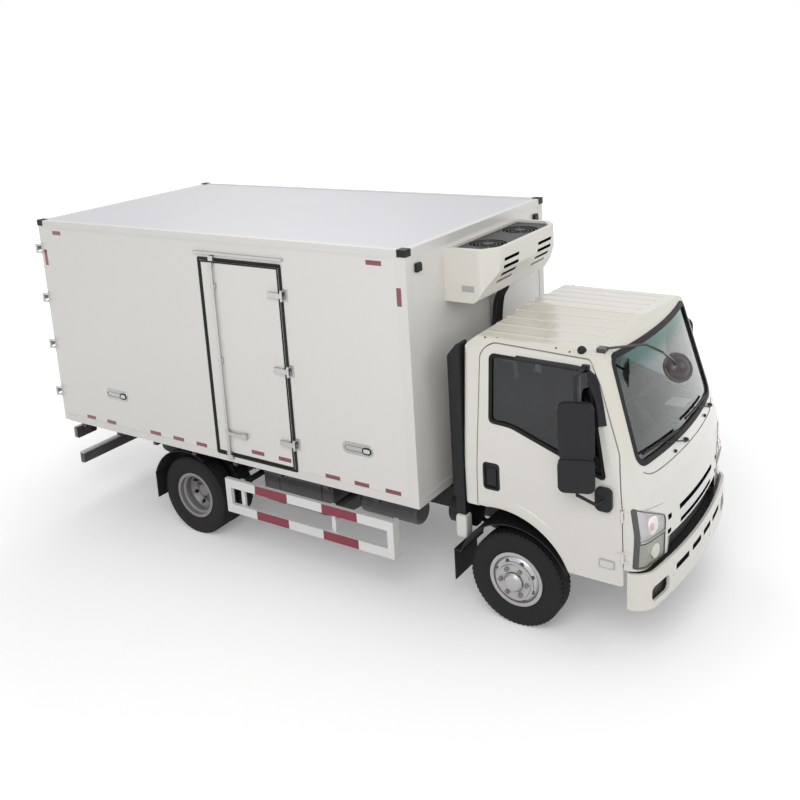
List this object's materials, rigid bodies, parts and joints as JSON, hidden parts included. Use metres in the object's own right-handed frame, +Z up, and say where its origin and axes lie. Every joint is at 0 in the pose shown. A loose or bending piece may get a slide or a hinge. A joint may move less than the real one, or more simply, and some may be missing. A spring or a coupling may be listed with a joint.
{
  "type": "refrigerated truck",
  "caption": "Light cab-over truck with an insulated refrigerated box, a cooling unit on its front wall, a side door and two rear doors; steering, wheels and doors move.",
  "frame": {"origin": "centre of the bounding box's base, on the ground under the tyres", "axes": "+X forward, the way the cab faces; +Y to the truck's left; +Z up"},
  "size_m": [6.202, 2.425, 3.025],
  "materials": {
    "frame_black": "satin",
    "iron_dark": "rough",
    "wheel_silver": "satin",
    "tyre": "matte",
    "engine_grey": "rough",
    "tank_grey": "satin",
    "plastic_black": "matte",
    "exhaust_steel": "dull",
    "guard_white": "satin",
    "lamp_red": "glossy",
    "floor_grey": "satin",
    "panel_grey": "satin",
    "panel_white": "semi-gloss",
    "edge_aluminium": "satin",
    "steel_fitting": "satin",
    "unit_white": "semi-gloss",
    "cab_cream": "glossy",
    "window_glass": "clear",
    "lamp_clear": "glossy",
    "bumper_white": "semi-gloss",
    "interior_grey": "matte",
    "seat_fabric": "matte"
  },
  "bodies": {
    "truck": {"chassis_frame": "frame_black", "front_axle": "iron_dark", "rear_axle": "iron_dark", "spare_wheel": "tyre", "engine_and_gearbox": "engine_grey", "propeller_shaft": "iron_dark", "fuel_tank": "tank_grey", "battery_box": "plastic_black", "air_tank": "frame_black", "exhaust": "exhaust_steel", "mudguards": "plastic_black", "side_guards": "guard_white", "underrun_bar": "guard_white", "rear_lamps": "lamp_red", "box_floor": "floor_grey", "box_roof": "panel_grey", "box_wall_left": "panel_white", "box_wall_right": "panel_white", "box_wall_front": "panel_white", "edge_rails": "edge_aluminium", "corner_castings": "plastic_black", "side_door_fittings": "steel_fitting", "rear_frame": "edge_aluminium", "cooling_unit": "unit_white", "condenser_grille": "plastic_black", "evaporator": "unit_white", "cab_shell": "cab_cream", "cab_roof": "cab_cream", "front_panel": "cab_cream", "cab_glass": "window_glass", "headlamps": "lamp_clear", "bumper": "bumper_white", "dashboard": "interior_grey", "seats": "seat_fabric", "round_mirror": "plastic_black", "air_intake": "plastic_black"},
    "knuckle_left": {"knuckle_left": "iron_dark"},
    "knuckle_right": {"knuckle_right": "iron_dark"},
    "tie_rod": {"tie_rod": "iron_dark"},
    "front_wheel_left": {"front_wheel_left": "wheel_silver", "front_tyre_left": "tyre"},
    "front_wheel_right": {"front_wheel_right": "wheel_silver", "front_tyre_right": "tyre"},
    "rear_wheels_left": {"rear_wheels_left": "wheel_silver", "rear_tyres_left": "tyre"},
    "rear_wheels_right": {"rear_wheels_right": "wheel_silver", "rear_tyres_right": "tyre"},
    "cab_door_left": {"cab_door_left": "cab_cream", "door_glass_left": "window_glass", "mirror_left": "plastic_black"},
    "cab_door_right": {"cab_door_right": "cab_cream", "door_glass_right": "window_glass", "mirror_right": "plastic_black"},
    "side_door": {"side_door": "panel_white"},
    "rear_door_left": {"rear_door_left": "panel_white"},
    "rear_door_right": {"rear_door_right": "panel_white"}
  },
  "joints": [
    {"name": "steer_left", "type": "hinge", "parent": "truck", "child": "knuckle_left", "pos_m": [1.936, 0.69, 0.39], "axis": [0, 0, 1], "range_deg": [-36, 36]},
    {"name": "steer_right", "type": "hinge", "parent": "truck", "child": "knuckle_right", "pos_m": [1.936, -0.69, 0.39], "axis": [0, 0, 1], "range_deg": [-36, 36]},
    {"name": "tie_rod_swing", "type": "hinge", "parent": "knuckle_left", "child": "tie_rod", "pos_m": [1.766, 0.69, 0.297], "axis": [0, 0, 1], "range_deg": [-36, 36]},
    {"name": "front_wheel_left_spin", "type": "hinge", "parent": "knuckle_left", "child": "front_wheel_left", "pos_m": [1.936, 0.836, 0.39], "axis": [0, 1, 0], "continuous": true},
    {"name": "front_wheel_right_spin", "type": "hinge", "parent": "knuckle_right", "child": "front_wheel_right", "pos_m": [1.936, -0.836, 0.39], "axis": [0, 1, 0], "continuous": true},
    {"name": "rear_wheels_left_spin", "type": "hinge", "parent": "truck", "child": "rear_wheels_left", "pos_m": [-1.424, 0.828, 0.39], "axis": [0, 1, 0], "continuous": true},
    {"name": "rear_wheels_right_spin", "type": "hinge", "parent": "truck", "child": "rear_wheels_right", "pos_m": [-1.424, -0.828, 0.39], "axis": [0, 1, 0], "continuous": true},
    {"name": "cab_door_left_hinge", "type": "hinge", "parent": "truck", "child": "cab_door_left", "pos_m": [2.833, 1, 1.02], "axis": [0, 0, -1], "range_deg": [0, 70]},
    {"name": "cab_door_right_hinge", "type": "hinge", "parent": "truck", "child": "cab_door_right", "pos_m": [2.833, -1, 1.02], "axis": [0, 0, 1], "range_deg": [0, 70]},
    {"name": "side_door_hinge", "type": "hinge", "parent": "truck", "child": "side_door", "pos_m": [0.033, -1.2005, 1.906], "axis": [0, 0, 1], "range_deg": [0, 170]},
    {"name": "rear_door_left_hinge", "type": "hinge", "parent": "truck", "child": "rear_door_left", "pos_m": [-3.084, 1.2005, 1.9], "axis": [0, 0, -1], "range_deg": [0, 265]},
    {"name": "rear_door_right_hinge", "type": "hinge", "parent": "truck", "child": "rear_door_right", "pos_m": [-3.084, -1.2005, 1.9], "axis": [0, 0, 1], "range_deg": [0, 265]}
  ],
  "couplings": [
    {"joint": "steer_right", "follows": "steer_left", "ratio": 1},
    {"joint": "tie_rod_swing", "follows": "steer_left", "ratio": -1}
  ]
}
